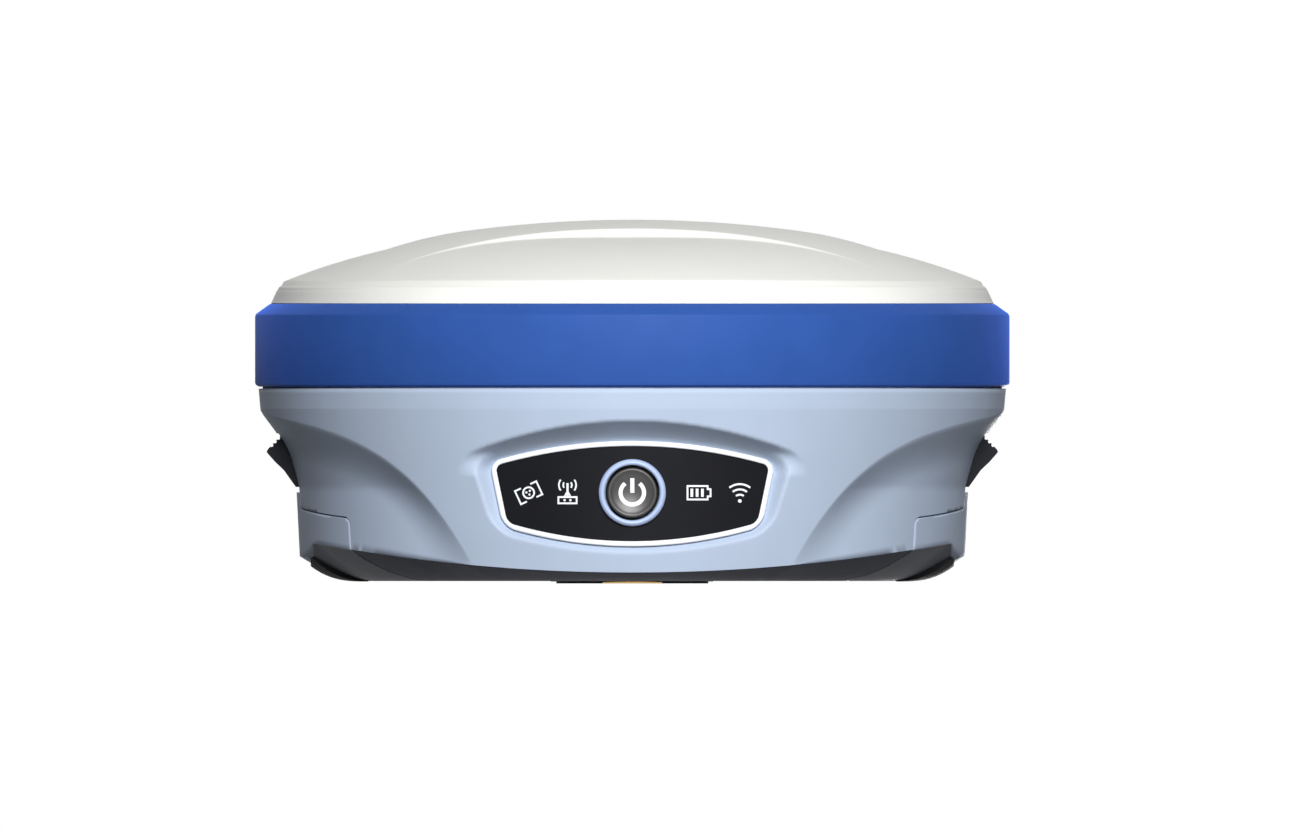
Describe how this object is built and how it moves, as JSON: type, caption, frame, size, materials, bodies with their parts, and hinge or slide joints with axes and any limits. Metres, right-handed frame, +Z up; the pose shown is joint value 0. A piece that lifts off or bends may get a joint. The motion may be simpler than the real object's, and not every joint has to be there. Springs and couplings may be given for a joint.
{
  "type": "gnss receiver",
  "caption": "Round pole-top satellite receiver with a scooped dome, bumper ring, sculpted housing, power button, latched battery doors and a threaded base.",
  "frame": {"origin": "centre of the base, on the plane it stands on", "axes": "+Z up along the pole axis, -Y towards the control panel, +X towards the right battery door"},
  "size_m": [0.1572, 0.1572, 0.0758],
  "materials": {
    "white_shell": "satin moulded plastic",
    "blue_ring": "semi-matte moulded plastic",
    "housing_grey": "fine-textured moulded plastic",
    "charcoal": "textured moulded plastic",
    "bezel_white": "glossy moulded plastic",
    "overlay_black": "satin film overlay",
    "button_black": "glossy moulded button",
    "button_ring_blue": "translucent moulded ring",
    "rubber_black": "moulded rubber",
    "latch_black": "textured moulded plastic",
    "brass": "turned brass",
    "steel": "turned steel",
    "battery_shell": "moulded battery case",
    "board_green": "solder-masked board",
    "frame_alloy": "cast alloy",
    "ceramic": "ceramic-filled antenna body",
    "switch_part": "moulded part",
    "flex": "flexible film circuit",
    "coax": "cable jacket",
    "light_pipe": "clear moulded pipe"
  },
  "bodies": {
    "receiver": {"radome": "white_shell", "bumper_ring": "blue_ring", "radome_seal": "rubber_black", "main_housing": "housing_grey", "belly_pan": "charcoal", "panel_bezel": "bezel_white", "panel_overlay": "overlay_black", "button_ring": "button_ring_blue", "power_switch": "switch_part", "keypad_board": "board_green", "light_pipes": "light_pipe", "keypad_ribbon": "flex", "thread_insert": "brass", "base_ring": "latch_black", "door_hinge_pin_left": "steel", "door_hinge_pin_right": "steel", "latch_pin_left": "steel", "latch_pin_right": "steel", "latch_spring_left": "steel", "latch_spring_right": "steel", "battery_contacts": "switch_part", "connector_plate": "latch_black", "antenna_connector": "brass", "data_socket": "steel", "power_socket": "steel", "socket_contacts": "brass", "port_cap_pins": "steel", "main_board": "board_green", "receiver_module": "frame_alloy", "radio_module": "frame_alloy", "midframe": "frame_alloy", "midframe_screws": "steel", "belly_screws": "steel", "antenna_ground_plane": "board_green", "antenna_element": "ceramic", "antenna_shield": "frame_alloy", "wireless_antenna": "flex", "antenna_coax": "coax", "speaker": "switch_part"},
    "power_button": {"power_button": "button_black"},
    "latch_left": {"latch_left": "latch_black"},
    "latch_right": {"latch_right": "latch_black"},
    "battery_door_left": {"battery_door_left": "housing_grey", "door_seal_left": "rubber_black", "door_foot_left": "rubber_black"},
    "battery_door_right": {"battery_door_right": "housing_grey", "door_seal_right": "rubber_black", "door_foot_right": "rubber_black"},
    "battery_left": {"battery_left": "battery_shell"},
    "battery_right": {"battery_right": "battery_shell"},
    "port_cap_left": {"port_cap_left": "rubber_black"},
    "port_cap_right": {"port_cap_right": "rubber_black"}
  },
  "joints": [
    {"name": "power_button_press", "type": "slide", "parent": "receiver", "child": "power_button", "axis": [0, 1, 0], "range_m": [0, 0.0006], "stiffness_N_per_m": 1500},
    {"name": "latch_left_pull", "type": "hinge", "parent": "receiver", "child": "latch_left", "pos_m": [-0.068, 0, 0.0216], "axis": [0, -1, 0], "range_deg": [0, 22], "stiffness_Nm_per_rad": 0.05},
    {"name": "battery_door_left_hinge", "type": "hinge", "parent": "receiver", "child": "battery_door_left", "pos_m": [-0.0196, 0, 0.0028], "axis": [0, -1, 0], "range_deg": [0, 88]},
    {"name": "battery_left_drop", "type": "slide", "parent": "receiver", "child": "battery_left", "axis": [0, 0, -1], "range_m": [0, 0.0077]},
    {"name": "port_cap_left_swing", "type": "hinge", "parent": "receiver", "child": "port_cap_left", "pos_m": [-0.027, 0.064, 0.019], "axis": [0, 0, 1], "range_deg": [0, 90]},
    {"name": "latch_right_pull", "type": "hinge", "parent": "receiver", "child": "latch_right", "pos_m": [0.068, 0, 0.0216], "axis": [0, 1, 0], "range_deg": [0, 22], "stiffness_Nm_per_rad": 0.05},
    {"name": "battery_door_right_hinge", "type": "hinge", "parent": "receiver", "child": "battery_door_right", "pos_m": [0.0196, 0, 0.0028], "axis": [0, 1, 0], "range_deg": [0, 88]},
    {"name": "battery_right_drop", "type": "slide", "parent": "receiver", "child": "battery_right", "axis": [0, 0, -1], "range_m": [0, 0.0077]},
    {"name": "port_cap_right_swing", "type": "hinge", "parent": "receiver", "child": "port_cap_right", "pos_m": [0.027, 0.064, 0.019], "axis": [0, 0, -1], "range_deg": [0, 90]}
  ],
  "couplings": [
    {"joint": "battery_left_drop", "follows": "battery_door_left_hinge", "m_per_rad": 0.005},
    {"joint": "battery_right_drop", "follows": "battery_door_right_hinge", "m_per_rad": 0.005}
  ]
}
